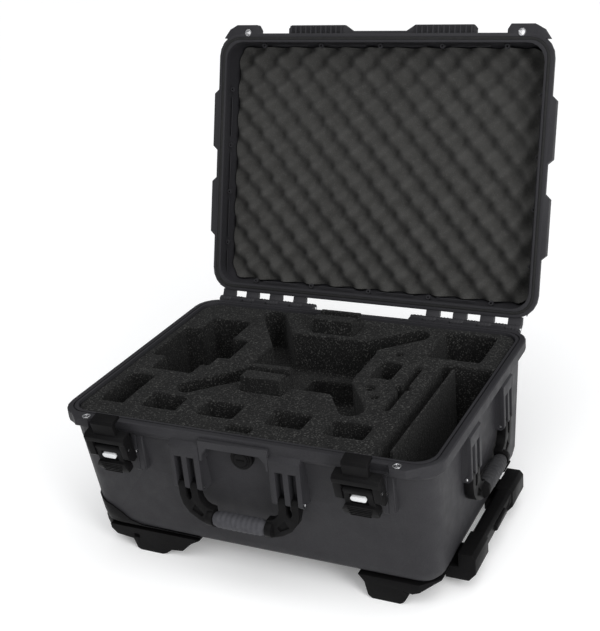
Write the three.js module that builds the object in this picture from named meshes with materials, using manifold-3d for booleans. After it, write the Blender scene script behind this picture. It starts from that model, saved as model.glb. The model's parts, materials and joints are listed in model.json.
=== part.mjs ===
// A wheeled hard carrying case for a camera drone, standing open on its feet.
//
// Millimetres, +Z up. The case frame used below has X across the width, the front wall with the
// latches on -Y, the hinge on +Y, and the floor at z = 0. The exported group is shifted so that
// its origin is the middle of the bottom of its bounding box.

import * as THREE from "three";
import { mergeVertices } from "three/addons/utils/BufferGeometryUtils.js";
import Module from "manifold-3d";

const wasm = await Module();
wasm.setup();

// ---------- driving dimensions ----------

const GAP = 0.4; // clearance between touching pieces
const ARC_STEPS = 5; // segments in each rounded corner of the case

const RIM_Z = 232; // top of the base's rim
const FLANGE = { width: 548, depth: 416, radius: 36 };
const APRON_Z = 213; // underside of the flange round the base
const BODY_TOP = { width: 530, depth: 398, radius: 32, y: 0, z: 214 };
const BODY_FOOT = { width: 517, depth: 371, radius: 32, y: 8.5, z: 58 };
const BODY_BOTTOM_Z = 36;
const WALL = 4.5;
const MOUTH = { width: 521, depth: 389, radius: 28 };

const HINGE = { y: 222.6, z: 226, radius: 6.5, pin: 2.3, inner: 81, outer: 253 };
const KNUCKLES = 8; // on each side of the middle gap, taken in turn by the base and the lid
const LID_OPEN = THREE.MathUtils.degToRad(106.5);
const LID_Z = RIM_Z + GAP; // underside of the closed lid
const LID_FLANGE_TOP = 243;
const LID_TOP = 291;
const LID_CAVITY_TOP = 286.5;

const EYELET = { x: 224, y: -209, hole: 4.2, radius: 6 };
const LATCH_X = 180;
const LATCH_PIN = { y: -204.8, z: 188, radius: 2.2 };
const LEVER_PIN = { y: -222.6, z: 206, radius: 2 };
const LATCH_TILT = THREE.MathUtils.degToRad(14); // the claws rest tipped away from the lid

const HANDLE_FACE_Y = -214; // front of the handle brackets
const HANDLE_PIVOT = { y: -207.5, z: 152, radius: 2 };
const HANDLE_SLOTS = [[59, 70], [77.5, 88.5]];
const HANDLE_TINES = [[59.4, 69.6], [77.9, 88]]; // one in each slot
const GRIP = { y: -212, z: 109, half: 38, radius: 12, core: 7 };
const SIDE_FACE_X = 276; // the same bracket on the right end wall
const SIDE_HANDLE_Y = 6;

const VALVE = { x: 8, z: 203, radius: 15.5 };

const WHEEL = { x: -226, z: 40, radius: 34, width: 26 };
const WHEEL_OFFSET = 154.5; // from the middle of the base to each wheel
const WELL = { right: -186, top: 80, half: 16 };
const AXLE_RADIUS = 4;

const TUBE_Y = 72;
const TUBE_Z = 23;
const TUBES = {
  outer: { from: -140, to: 236, radius: 9, bore: 7.8 },
  middle: { from: -130, to: 240, radius: 7.4, bore: 6.2 },
  inner: { from: -120, to: 250, radius: 5.8 },
};

const FOAM_TOP = RIM_Z - 3;
const FOAM_SPLIT = 95; // the cut insert lies on a lower layer
const COMPARTMENT_X = 184; // the open compartment takes the right end

// ---------- solids ----------

function solidOf(geometry) {
  const bare = geometry.index ? geometry.toNonIndexed() : geometry.clone();
  bare.deleteAttribute("normal");
  bare.deleteAttribute("uv");
  const merged = mergeVertices(bare, 1e-4);
  const mesh = new wasm.Mesh({
    numProp: 3,
    vertProperties: merged.attributes.position.array,
    triVerts: new Uint32Array(merged.index.array),
  });
  return new wasm.Manifold(mesh);
}

function geometryOf(solid) {
  const { vertProperties, triVerts } = solid.getMesh();
  const geometry = new THREE.BufferGeometry();
  geometry.setAttribute("position", new THREE.BufferAttribute(vertProperties, 3));
  geometry.setIndex(new THREE.BufferAttribute(triVerts, 1));
  return geometry;
}

// A span on the right (1), or its mirror image on the left (-1).
const mirrored = (side, [from, to]) => (side > 0 ? [from, to] : [-to, -from]);
const join = (...solids) => solids.flat().reduce((a, b) => a.add(b));
const cut = (solid, ...tools) => tools.flat().reduce((a, b) => a.subtract(b), solid);

function placed(solid, matrix) {
  return solidOf(geometryOf(solid).applyMatrix4(matrix));
}

function box([x0, x1], [y0, y1], [z0, z1]) {
  const geometry = new THREE.BoxGeometry(x1 - x0, y1 - y0, z1 - z0);
  return solidOf(geometry.translate((x0 + x1) / 2, (y0 + y1) / 2, (z0 + z1) / 2));
}

// A round bar along an axis; centre is its place on the other two axes, in X, Y, Z order.
function rod(axis, radius, [from, to], [a, b], sides = 12) {
  const geometry = new THREE.CylinderGeometry(radius, radius, to - from, sides);
  geometry.rotateY(Math.PI / sides);
  const middle = (from + to) / 2;
  if (axis === "x") geometry.rotateZ(Math.PI / 2).translate(middle, a, b);
  if (axis === "y") geometry.translate(a, middle, b);
  if (axis === "z") geometry.rotateX(Math.PI / 2).translate(a, b, middle);
  return solidOf(geometry);
}

// An outline extruded along an axis. Its points are (y, z), (x, z) or (x, y) for x, y or z.
function plate(axis, outline, [from, to], curveSegments = 5) {
  const shape = outline instanceof THREE.Shape
    ? outline
    : new THREE.Shape(outline.map(([a, b]) => new THREE.Vector2(a, b)));
  const geometry = new THREE.ExtrudeGeometry(shape, {
    depth: to - from,
    bevelEnabled: false,
    curveSegments,
  });
  const basis = new THREE.Matrix4();
  const [x, y, z] = [[1, 0, 0], [0, 1, 0], [0, 0, 1]].map((v) => new THREE.Vector3(...v));
  if (axis === "x") basis.makeBasis(y, z, x).setPosition(from, 0, 0);
  if (axis === "y") basis.makeBasis(x, z, y.clone().negate()).setPosition(0, to, 0);
  if (axis === "z") basis.setPosition(0, 0, from);
  return solidOf(geometry.applyMatrix4(basis));
}

function ringPoints({ width, depth, radius, z, x = 0, y = 0 }) {
  const corners = [[1, -1, -90], [1, 1, 0], [-1, 1, 90], [-1, -1, 180]];
  return corners.flatMap(([sideX, sideY, start]) =>
    Array.from({ length: ARC_STEPS + 1 }, (_, i) => {
      const angle = THREE.MathUtils.degToRad(start + (90 * i) / ARC_STEPS);
      return [
        x + sideX * (width / 2 - radius) + radius * Math.cos(angle),
        y + sideY * (depth / 2 - radius) + radius * Math.sin(angle),
        z,
      ];
    }),
  );
}

// A closed solid through rounded-rectangle sections, given from the bottom up.
function loft(sections) {
  const rings = sections.map(ringPoints);
  const count = rings[0].length;
  const vertices = rings.flat();
  const faces = [];
  for (let level = 0; level + 1 < rings.length; level++)
    for (let i = 0; i < count; i++) {
      const a = level * count + i;
      const b = level * count + ((i + 1) % count);
      faces.push(a, b, b + count, a, b + count, a + count);
    }
  for (const [level, outward] of [[0, -1], [rings.length - 1, 1]]) {
    const { x = 0, y = 0, z } = sections[level];
    const centre = vertices.push([x, y, z]) - 1;
    for (let i = 0; i < count; i++) {
      const a = level * count + i;
      const b = level * count + ((i + 1) % count);
      faces.push(centre, ...(outward > 0 ? [a, b] : [b, a]));
    }
  }
  const geometry = new THREE.BufferGeometry();
  geometry.setAttribute("position", new THREE.Float32BufferAttribute(vertices.flat(), 3));
  geometry.setIndex(faces);
  return solidOf(geometry);
}

function inset(section, by, z = section.z) {
  return {
    ...section,
    z,
    width: section.width - 2 * by,
    depth: section.depth - 2 * by,
    radius: Math.max(section.radius - by, 4),
  };
}

const at = (section, z) => ({ ...section, z });
const ring = (section, by, thickness, [from, to]) =>
  cut(
    loft([inset(section, by, from), inset(section, by, to)]),
    loft([inset(section, by + thickness, from - 1), inset(section, by + thickness, to + 1)]),
  );

// ---------- the base's drafted form ----------

// The base's section at a height, moved inwards by an amount.
function bodyAt(z, by = 0) {
  const t = THREE.MathUtils.clamp((z - BODY_FOOT.z) / (BODY_TOP.z - BODY_FOOT.z), 0, 1);
  const mix = (name) => THREE.MathUtils.lerp(BODY_FOOT[name], BODY_TOP[name], t);
  return inset({ width: mix("width"), depth: mix("depth"), radius: 32, y: mix("y"), z }, by);
}

// The base's outer form, or its cavity, with a rounded edge round the bottom.
function bodySolid(by, top) {
  const bottom = BODY_BOTTOM_Z + by;
  const fillet = BODY_FOOT.z - bottom;
  const rounded = [0, 30, 60].map((degrees) => {
    const a = THREE.MathUtils.degToRad(degrees);
    const rise = fillet * (1 - Math.cos(a));
    return inset(bodyAt(BODY_FOOT.z, by), fillet * (1 - Math.sin(a)), bottom + rise);
  });
  return loft([...rounded, bodyAt(BODY_FOOT.z, by), bodyAt(BODY_TOP.z, by), bodyAt(top, by)]);
}

// ---------- materials ----------

const finish = (color, roughness, metalness = 0) =>
  new THREE.MeshStandardMaterial({ color, roughness, metalness });

const MATERIALS = {
  resin: () => finish(0x4a4a4e, 0.55),
  blackPlastic: () => finish(0x1b1b1c, 0.5),
  greyGrip: () => finish(0x55565a, 0.75),
  darkGrip: () => finish(0x333436, 0.75),
  rubber: () => finish(0x151515, 0.85),
  steel: () => finish(0xc9ccd0, 0.3, 1),
  tube: () => finish(0x8d9094, 0.35, 1),
  foam: () => finish(0x1e1e20, 0.98),
  lidFoam: () => finish(0x2b2b2c, 0.98),
  lock: () => finish(0xd9dadb, 0.4),
};

function part(name, solid, material) {
  const mesh = new THREE.Mesh(geometryOf(solid), MATERIALS[material]());
  mesh.name = name;
  return mesh;
}

// ---------- base shell ----------

// The middle of a wheel or foot on the front (-1) or rear (+1) side.
const cornerY = (side) => BODY_FOOT.y + side * WHEEL_OFFSET;
const mirrorX = (outline) => outline.map(([x, y]) => [-x, y]);
const BOTH = [-1, 1];

function wheelWell(side, thickness) {
  const y = cornerY(side);
  const half = WELL.half + thickness;
  return box([-300, WELL.right + thickness], [y - half, y + half], [0, WELL.top + thickness]);
}

function apron() {
  return loft([
    inset(FLANGE, 3, APRON_Z),
    at(FLANGE, APRON_Z + 4),
    at(FLANGE, RIM_Z - 1.5),
    inset(FLANGE, 1.5, RIM_Z),
  ]);
}

function baseEars() {
  const outline = [[213, -196], [213, -210], [217, -217.5], [238, -217.5], [254, -203], [246, -196]];
  return BOTH.map((side) => plate("z", side > 0 ? outline : mirrorX(outline), [221, RIM_Z]));
}

// The pair of slotted brackets that a carrying handle hangs from, in the front wall's place.
function handleBrackets(backY) {
  const top = APRON_Z + 6;
  const side = [
    [backY, 147], [-210, 147], [HANDLE_FACE_Y, 151], [HANDLE_FACE_Y, top - 6],
    [HANDLE_FACE_Y + 7, top], [backY, top],
  ];
  return BOTH.map((end) => {
    const from = end > 0 ? 51 : -95;
    return plate("x", side, [from, from + 44]);
  });
}

function handleSlots() {
  const slots = BOTH.flatMap((end) =>
    HANDLE_SLOTS.map((slot) =>
      box(mirrored(end, slot), [HANDLE_FACE_Y - 5, HANDLE_PIVOT.y + 7.2], [140, 197])),
  );
  return [...slots, ...handlePins(0.3)];
}

// Each pin crosses one bracket; the shell is cut with the same pins, a little larger.
function handlePins(clearance) {
  const span = clearance ? [50, 96.5] : [52, 96.2];
  return BOTH.map((end) =>
    rod("x", HANDLE_PIVOT.radius + clearance, mirrored(end, span), [HANDLE_PIVOT.y, HANDLE_PIVOT.z]));
}

const SIDE_PLACE = new THREE.Matrix4()
  .makeRotationZ(Math.PI / 2)
  .setPosition(SIDE_FACE_X + HANDLE_FACE_Y, SIDE_HANDLE_Y, 0);

function latchPosts() {
  const outline = [
    [-190, 155], [-200, 155], [-202.5, 159], [-202.5, 182], [-207, 183.5], [-209.6, 186], [-209.6, 190],
    [-207, 193], [-205, 196], [-205, 214], [-190, 214],
  ];
  return BOTH.flatMap((end) =>
    BOTH.map((side) => {
      const middle = end * LATCH_X + side * 24;
      return plate("x", outline, [middle - 3, middle + 3]);
    }),
  );
}

// The bar across a latch's two posts, or the bore for it.
function latchPin(end, clearance = 0) {
  const half = clearance ? 40 : 27.5;
  const middle = end * LATCH_X;
  const centre = [LATCH_PIN.y, LATCH_PIN.z];
  return rod("x", LATCH_PIN.radius + clearance, [middle - half, middle + half], centre);
}

// Every knuckle place along the hinge; the base takes the even ones and the lid the odd ones.
function knuckleSpans(parity) {
  const pitch = (HINGE.outer - HINGE.inner) / KNUCKLES;
  return BOTH.flatMap((side) =>
    Array.from({ length: KNUCKLES }, (_, i) => i)
      .filter((i) => i % 2 === parity)
      .map((i) => {
        const ends = [HINGE.inner + i * pitch + GAP / 2, HINGE.inner + (i + 1) * pitch - GAP / 2];
        return mirrored(side, ends);
      }),
  );
}

function knuckles(parity, web) {
  const centre = [HINGE.y, HINGE.z];
  return knuckleSpans(parity).map((span) =>
    join(rod("x", HINGE.radius, span, centre, 10), plate("x", web, span)));
}

// A hinge's bores, or its pins, reaching past the knuckles at both ends.
const hingeRods = (radius, past) =>
  BOTH.map((side) =>
    rod("x", radius, mirrored(side, [HINGE.inner - past, HINGE.outer + past]), [HINGE.y, HINGE.z], 8));
const hingeBores = () => hingeRods(HINGE.pin + 0.6, 2);

function axle(side, clearance = 0) {
  const y = cornerY(side);
  const half = 18.5 + clearance;
  return rod("y", AXLE_RADIUS + clearance, [y - half, y + half], [WHEEL.x, WHEEL.z]);
}

function baseShell() {
  const web = [[206, 231], [206, 216], [221, 219.8], [HINGE.y, HINGE.z], [218, 231]];
  const outside = join(
    bodySolid(0, BODY_TOP.z),
    apron(),
    baseEars(),
    handleBrackets(-186),
    handleBrackets(-190).map((s) => placed(s, SIDE_PLACE)),
    latchPosts(),
    rod("y", VALVE.radius, [-199, -190], [VALVE.x, VALVE.z], 20),
    knuckles(0, web),
  );
  const cavity = cut(
    join(bodySolid(WALL, BODY_TOP.z), loft([at(MOUTH, BODY_TOP.z - 1), at(MOUTH, RIM_Z + 1)])),
    BOTH.map((side) => wheelWell(side, 3.5)),
  );
  return cut(
    outside,
    cavity,
    ring(FLANGE, 8, 2.4, [RIM_Z - 3, RIM_Z + 1]),
    BOTH.map((side) => wheelWell(side, 0)),
    BOTH.map((side) => axle(side, 0.3)),
    handleSlots(),
    handleSlots().map((s) => placed(s, SIDE_PLACE)),
    BOTH.map((end) => latchPin(end, 0.3)),
    hingeBores(),
    BOTH.map((side) => rod("z", EYELET.radius + 0.3, [219, RIM_Z + 1], [side * EYELET.x, EYELET.y])),
    BOTH.map((side) => rod("z", EYELET.hole + 0.5, [205, 220], [side * EYELET.x, EYELET.y])),
  );
}

function eyelet(side, [from, to]) {
  const centre = [side * EYELET.x, EYELET.y];
  return cut(
    rod("z", EYELET.radius, [from, to], centre),
    rod("z", EYELET.hole, [from - 1, to + 1], centre),
  );
}

// ---------- pressure valve ----------

const UNDER_APRON = box([-20, 40], [-215, -190], [APRON_Z - GAP, 230]);

function valveBody() {
  const disc = rod("y", VALVE.radius, [-206, -199.4], [VALVE.x, VALVE.z], 20);
  const collar = cut(
    rod("y", 12.5, [-208, -205], [VALVE.x, VALVE.z], 20),
    rod("y", 10.4, [-209, -206], [VALVE.x, VALVE.z], 20),
  );
  return cut(join(disc, collar), UNDER_APRON);
}

function valveCap() {
  const cap = rod("y", 10, [-208.6, -206.3], [VALVE.x, VALVE.z], 20);
  const slot = box([VALVE.x - 6, VALVE.x + 6], [-210, -207.6], [VALVE.z - 1, VALVE.z + 1]);
  return cut(cap, slot, UNDER_APRON);
}

// ---------- foam ----------

// Pockets for small items, as [x range, y range, depth].
const POCKETS = {
  tall: [[-239, -202], [-155, -68], 60],
  battery_a: [[-173, -119], [-154, -116], 55],
  battery_b: [[-85, -31], [-154, -116], 55],
  battery_c: [[17, 71], [-154, -116], 55],
  battery_d: [[103, 157], [-158, -120], 55],
  front_slot: [[-27, 9], [-183, -168], 40],
  cable: [[98, 129], [11, 62], 45],
  charger: [[154, 231], [94, 180], 80],
  tool: [[151, 160], [-75, 57], 40],
  tool_cross: [[144, 166], [-13, -3], 32],
};
const PEG_HOLES = [[113, -20, 7], [128, -43, 5.5], [113, 90, 5.5]];
const CONTROLLER = [
  [-222, -46], [-157, -46], [-157, -16], [-144, -16], [-144, 12], [-124, 12], [-124, 75],
  [-154, 75], [-154, 140], [-219, 140], [-219, 97], [-247, 97], [-247, -3], [-222, -3],
];
const DRONE_BODY = [
  [-80, -30], [-56, -51], [76, -51], [88, -30], [78, 0], [78, 88], [58, 119], [-66, 119], [-82, 60],
];
const DRONE_ARMS = [
  { from: [-66, 78], to: [-128, 172], half: 17 },
  { from: [-66, -20], to: [-136, -86], half: 16 },
  { from: [74, -30], to: [112, -86], half: 17 },
  { from: [50, 96], to: [116, 160], half: 17 },
];
const DRONE_DEPTH = 62;
const BLOCKS = {
  front: [[-58, 2], [-76, -30]],
  rear: [[-44, 22], [132, 172]],
};

// A slot with round ends between two points.
function slotOutline({ from, to, half }) {
  const shape = new THREE.Shape();
  const angle = Math.atan2(to[1] - from[1], to[0] - from[0]);
  shape.absarc(to[0], to[1], half, angle - Math.PI / 2, angle + Math.PI / 2);
  shape.absarc(from[0], from[1], half, angle + Math.PI / 2, angle + Math.PI * 1.5);
  return shape;
}

const sunk = (depth) => [FOAM_TOP - depth, FOAM_TOP + 5];

function foamInsert() {
  const block = loft([
    bodyAt(FOAM_SPLIT, WALL + 1.5),
    bodyAt(BODY_TOP.z, WALL + 1.5),
    inset(MOUTH, 1.5, FOAM_TOP),
  ]);
  const pockets = Object.values(POCKETS).map(([x, y, depth]) => box(x, y, sunk(depth)));
  const holes = PEG_HOLES.map(([x, y, radius]) => rod("z", radius, sunk(30), [x, y], 14));
  return cut(
    block,
    pockets,
    holes,
    plate("z", CONTROLLER, sunk(95)),
    plate("z", DRONE_BODY, sunk(DRONE_DEPTH)),
    box([-30, 60], [-20, 95], sunk(100)),
    DRONE_ARMS.map((arm) => plate("z", slotOutline(arm), sunk(DRONE_DEPTH))),
    Object.values(BLOCKS).map(([x, y]) =>
      box([x[0] - 1, x[1] + 1], [y[0] - 1, y[1] + 1], sunk(20.5))),
    box([COMPARTMENT_X, 300], [-230, 74], [50, 260]),
  );
}

function foamLowerLayer() {
  const block = loft([bodyAt(BODY_FOOT.z + 4, WALL + 1.5), bodyAt(FOAM_SPLIT - 1, WALL + 1.5)]);
  return cut(
    block,
    BOTH.map((side) => wheelWell(side, 5)),
    box([COMPARTMENT_X + 4, 300], [-230, 70], [75, 260]),
  );
}

const foamFloorPad = () =>
  cut(
    loft([inset(bodyAt(BODY_FOOT.z), WALL + 10, 44), inset(bodyAt(BODY_FOOT.z), WALL + 3, 61)]),
    BOTH.map((side) => wheelWell(side, 5)),
  );

function foamBlock([x, y]) {
  const block = box(x, y, [FOAM_TOP - 20, FOAM_TOP + 22]);
  const middle = (y[0] + y[1]) / 2 + 6;
  return cut(block, box([x[0] - 1, x[1] + 1], [middle - 5, middle + 5], [FOAM_TOP + 12, FOAM_TOP + 30]));
}

const compartmentDivider = () => box([200, 204], [-172, 68], [76, FOAM_TOP - 2]);

// ---------- corners, wheels and feet ----------

const HOUSING_EDGE = [
  [-290, 88], [-256, 83], [-228, 74], [-213, 63], [-202, 52], [-186, 46], [-150, 44.5],
  [-96, 42], [-96, 34], [-290, 34],
];
const HOUSING_FOOT = [
  [-244, 35], [-243, 28], [-234, 20], [-207, 17], [-202, 3], [-197, 0], [-160, 0],
  [-153, 3], [-144, 10], [-126, 12], [-110, 27], [-96, 35],
];
const FOOT = [
  [143, 35], [152, 24], [156, 5], [162, 0], [201, 0], [206, 3], [215, 17], [226, 22], [252, 33], [252, 35],
];

// A span of Y measured outwards from the middle of the base.
const cornerSpan = (side, from, to) => mirrored(side, [from, to]).map((y) => BODY_FOOT.y + y);

// A black moulding that wraps the lower left corner, with the wheel in its slot and a foot below.
function wheelHousing(side) {
  const wrap = plate("y", HOUSING_EDGE, cornerSpan(side, 104, 230));
  const skin = cut(bodySolid(-2.2, 100).intersect(wrap), bodySolid(-GAP, 110));
  const foot = plate("y", HOUSING_FOOT, cornerSpan(side, 104, 180));
  const bolts = box([-205, -196], cornerSpan(side, 176, 190), [20, 26]);
  return cut(join(skin, foot), wheelWell(side, 0), axle(side, GAP), bolts);
}

function frontFoot(side) {
  const foot = plate("y", FOOT, cornerSpan(side, 126, 180));
  const notch = [[205, 22], [212, 8], [230, 8], [230, 16], [214, 20]];
  return cut(foot, plate("y", notch, cornerSpan(side, 168, 190)));
}

function tyre(side) {
  const y = cornerY(side);
  const half = WHEEL.width / 2;
  const profile = [
    [24, -half], [WHEEL.radius - 3, -half], [WHEEL.radius, -half + 4], [WHEEL.radius, half - 4],
    [WHEEL.radius - 3, half], [24, half], [24, -half],
  ].map(([r, h]) => new THREE.Vector2(r, h));
  const geometry = new THREE.LatheGeometry(profile, 24);
  return solidOf(geometry.translate(WHEEL.x, y, WHEEL.z));
}

function hub(side) {
  const y = cornerY(side);
  const half = WHEEL.width / 2 - 1;
  const centre = [WHEEL.x, WHEEL.z];
  const body = rod("y", 23.6, [y - half, y + half], centre, 24);
  const dish = BOTH.map((face) => {
    const span = mirrored(face, [half - 4, half + 2]).map((h) => y + h);
    return cut(rod("y", 19, span, centre, 16), rod("y", 9, [y - 30, y + 30], centre));
  });
  return cut(body, dish, rod("y", AXLE_RADIUS + 0.3, [y - 30, y + 30], centre));
}

// ---------- telescopic pull handle ----------

function handleChannel() {
  const bed = box([-146, 236], [-92, 92], [30, BODY_BOTTOM_Z - GAP]);
  const ridge = [[-15, 31], [-12, 14], [-8, 11], [8, 11], [12, 14], [15, 31]];
  const ridges = BOTH.map((side) =>
    plate("x", ridge.map(([y, z]) => [y + side * TUBE_Y, z]), [-146, 236]));
  const bores = BOTH.map((side) =>
    rod("x", TUBES.outer.radius + 0.3, [-141, 240], [side * TUBE_Y, TUBE_Z]));
  return cut(join(bed, ridges), bores);
}

function tube({ from, to, radius, bore }, side) {
  const centre = [side * TUBE_Y, TUBE_Z];
  const bar = rod("x", radius, [from, to], centre);
  return bore ? cut(bar, rod("x", bore, [from - 1, to + 1], centre)) : bar;
}

function pullGrip() {
  const bar = [[262, 34], [266, 30], [280, 30], [284, 34], [284, 48], [280, 52], [266, 52], [262, 48]];
  const lump = [[244, 14], [276, 14], [286, 26], [286, 48], [281, 54], [262, 54], [262, 34], [244, 33]];
  const lumps = BOTH.map((side) => plate("y", lump, mirrored(side, [58, 114])));
  const sockets = BOTH.map((side) =>
    rod("x", TUBES.inner.radius + 0.3, [240, 251], [side * TUBE_Y, TUBE_Z]));
  const pocket = box([277, 290], [-23, 23], [35.5, 46.5]);
  return cut(join(plate("y", bar, [-60, 60]), lumps), sockets, pocket);
}

function pullButton() {
  const outline = [[281.6, 36], [286, 36], [288, 38], [288, 44], [286, 46], [281.6, 46]];
  return plate("y", outline, [-22.4, 22.4]);
}

// ---------- carrying handles ----------

// The rigid frame: a two-tined fork at each end, curving in to the bar inside the grip.
function handleFrame() {
  const reach = GRIP.half + 1;
  const top = HANDLE_PIVOT.z;
  const pivot = [HANDLE_PIVOT.y, top];
  const thickness = 12;
  const arms = BOTH.map((end) => {
    const shape = new THREE.Shape();
    shape.moveTo(end * 88, top);
    shape.lineTo(end * 88, 138);
    shape.quadraticCurveTo(end * 86, 106, end * (reach + 4), 96);
    shape.lineTo(end * reach, 96);
    shape.lineTo(end * reach, 122);
    shape.quadraticCurveTo(end * 57, 122, end * 59.4, 142);
    shape.lineTo(end * 59.4, top);
    shape.closePath();
    const fork = [[69.6, 170], [69.6, 136], [72, 132], [75.5, 132], [77.9, 136], [77.9, 170]];
    const gap = plate("y", fork.map(([x, z]) => [end * x, z]), [-230, -190]);
    const window = [[66, 126], [72, 116], [58, 108], [54, 113]].map(([x, z]) => [end * x, z]);
    const tips = HANDLE_TINES.map((tine) => rod("x", thickness / 2, mirrored(end, tine), pivot));
    const arm = plate("y", shape, [pivot[0] - thickness / 2, pivot[0] + thickness / 2], 4);
    return cut(
      join(cut(arm, gap), tips),
      plate("y", window, [-230, -210.5]),
      rod("x", HANDLE_PIVOT.radius + 0.4, [-100, 100], pivot),
    );
  });
  const cheeks = BOTH.map((end) => rod("x", 11, mirrored(end, [reach, reach + 9]), [GRIP.y, GRIP.z]));
  return join(arms, cheeks, rod("x", GRIP.core, [-reach - 2, reach + 2], [GRIP.y, GRIP.z]));
}

// The soft sleeve round the bar.
function handleGrip() {
  const { half, radius, core } = GRIP;
  const profile = [
    [core + 0.3, -half], [radius - 1, -half], [radius, 3 - half], [radius, half - 3],
    [radius - 1, half], [core + 0.3, half], [core + 0.3, -half],
  ].map(([r, h]) => new THREE.Vector2(r, h));
  const geometry = new THREE.LatheGeometry(profile, 16).rotateZ(-Math.PI / 2);
  return solidOf(geometry.translate(0, GRIP.y, GRIP.z));
}

// ---------- latches, drawn upright about x = 0 ----------

function latchClaw() {
  const back = box([-31, 31], [-216.4, -212], [184, 228]);
  const lug = join(
    rod("x", 5.5, [-20.4, 20.4], [LATCH_PIN.y, LATCH_PIN.z], 14),
    box([-20.4, 20.4], [-214, -204], [184, 192]),
  );
  const cheek = [[-212, 184], [-221, 184], [-229, 194], [-229, 214], [-226, 228], [-212, 228]];
  const cheeks = BOTH.map((side) => plate("x", cheek, mirrored(side, [21, 31])));
  const bar = [[-212, 216], [-226, 216], [-230, 219], [-230, 226], [-226, 229], [-212, 229]];
  const topBar = plate("x", bar, [-31, 31]);
  const hook = [
    [-216.5, 226], [-224, 226], [-224, 246], [-221, 250], [-206, 250], [-204, 248],
    [-204, 244], [-216.5, 243.8],
  ];
  return cut(
    join(back, lug, cheeks, topBar, plate("x", hook, [-17, 17])),
    rod("x", LATCH_PIN.radius + 0.4, [-40, 40], [LATCH_PIN.y, LATCH_PIN.z]),
    rod("x", LEVER_PIN.radius + 0.3, [-32, 32], [LEVER_PIN.y, LEVER_PIN.z]),
    box([-14, 14], [-220, -208], [208.5, 214]),
  );
}

const leverPin = () => rod("x", LEVER_PIN.radius, [-30.5, 30.5], [LEVER_PIN.y, LEVER_PIN.z]);

function latchLever() {
  const width = [-19.6, 19.6];
  const eye = rod("x", 5.4, width, [LEVER_PIN.y, LEVER_PIN.z], 14);
  const upper = box(width, [-227.5, -217.6], [184, 206]);
  const flare = [
    [-19.6, 185], [19.6, 185], [24, 177], [23.4, 169], [19, 165], [-19, 165], [-23.4, 169], [-24, 177],
  ];
  const lower = plate("y", flare, [-231, -217.6]);
  const underToe = [[-222, 160], [-240, 160], [-240, 174], [-231.5, 178], [-226.5, 165.5]];
  const toe = plate("x", underToe, [-30, 30]);
  const lockSlot = box([-12, 12], [-235, -224.5], [186, 202]);
  return cut(
    cut(join(eye, upper, lower), toe),
    lockSlot,
    rod("x", LEVER_PIN.radius + 0.4, [-40, 40], [LEVER_PIN.y, LEVER_PIN.z]),
  );
}

// The slide that locks the lever; it travels down in its slot.
function latchLock() {
  const shape = new THREE.Shape();
  shape.absarc(7, 196, 3.6, -Math.PI / 2, Math.PI / 2);
  shape.absarc(-7, 196, 3.6, Math.PI / 2, Math.PI * 1.5);
  return plate("y", shape, [-229.5, -225], 5);
}

// ---------- lid, drawn closed ----------

function lidEars() {
  const ear = [[203, -200], [203, -213], [208, -221], [243, -221], [256, -214], [266, -200]];
  return BOTH.map((side) => plate("z", side > 0 ? ear : mirrorX(ear), [LID_Z + 0.6, 246]));
}

// The ribbed ledge between the latches that shields them.
function lidLedge() {
  const outline = [
    [-154, -205], [-154, -216], [-149, -221], [-58, -221], [-44, -212], [44, -212],
    [58, -221], [149, -221], [154, -216], [154, -205],
  ];
  const shield = plate("z", outline, [240, 247]);
  const ribs = BOTH.flatMap((side) =>
    Array.from({ length: 11 }, (_, i) => {
      const x = side * (62 + i * 8.6);
      return box([x - 0.9, x + 0.9], [-219.6, -206], [LID_Z + 1.6, 241]);
    }),
  );
  return [shield, ...ribs];
}

function sideBumps() {
  const spans = [[-112, -28], [30, 112]];
  return BOTH.flatMap((side) =>
    spans.map(([from, to]) => {
      const outline = [[270, from - 10], [281, from], [281, to], [270, to + 10]];
      return plate("z", side > 0 ? outline : mirrorX(outline), [LID_Z + 0.6, 246]);
    }),
  );
}

function lidDome() {
  const top = { width: 520, depth: 388, radius: 30 };
  return loft([
    { width: 532, depth: 400, radius: 33, z: 238 },
    at(top, 280),
    inset(top, 1.6, 286),
    inset(top, 5.5, 289.8),
    inset(top, 11, LID_TOP),
  ]);
}

// Raised bars on the lid that locate a case stacked on it.
function stackingBars() {
  const bars = BOTH.flatMap((side) => [
    box(mirrored(side, [98, 222]), [-148, -132], [288, 295]),
    box(mirrored(side, [98, 222]), [132, 148], [288, 295]),
    box(mirrored(side, [207, 223]), [-70, 70], [288, 295]),
  ]);
  return bars;
}

function lidShell() {
  const flange = loft([
    inset(FLANGE, 1.5, LID_Z),
    at(FLANGE, LID_Z + 1.5),
    at(FLANGE, LID_FLANGE_TOP - 2),
    inset(FLANGE, 2, LID_FLANGE_TOP),
  ]);
  const web = [[206, 234], [206, 241], [216, 241], [227.5, 231], [HINGE.y, HINGE.z], [217, 231]];
  const cavity = loft([
    at(MOUTH, LID_Z - 1),
    at(MOUTH, 246),
    inset(MOUTH, 3.5, 278),
    inset(MOUTH, 6, 284),
    inset(MOUTH, 10, LID_CAVITY_TOP),
  ]);
  return cut(
    join(flange, lidDome(), lidEars(), lidLedge(), sideBumps(), stackingBars(), knuckles(1, web)),
    cavity,
    ring(FLANGE, 5.6, 4.4, [LID_Z - 1, LID_Z + 4]),
    hingeBores(),
    BOTH.map((side) => rod("z", EYELET.radius + 0.3, [228, 250], [side * EYELET.x, EYELET.y])),
  );
}

const lidSeal = () => ring(FLANGE, 5.9, 3.8, [LID_Z, LID_Z + 3.6]);

function lidFoam() {
  return loft([
    inset(MOUTH, 5, 258),
    inset(MOUTH, 5, 278),
    inset(MOUTH, 7.5, 283.6),
    inset(MOUTH, 11.5, LID_CAVITY_TOP - GAP),
  ]);
}

// ---------- assembly ----------

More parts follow.
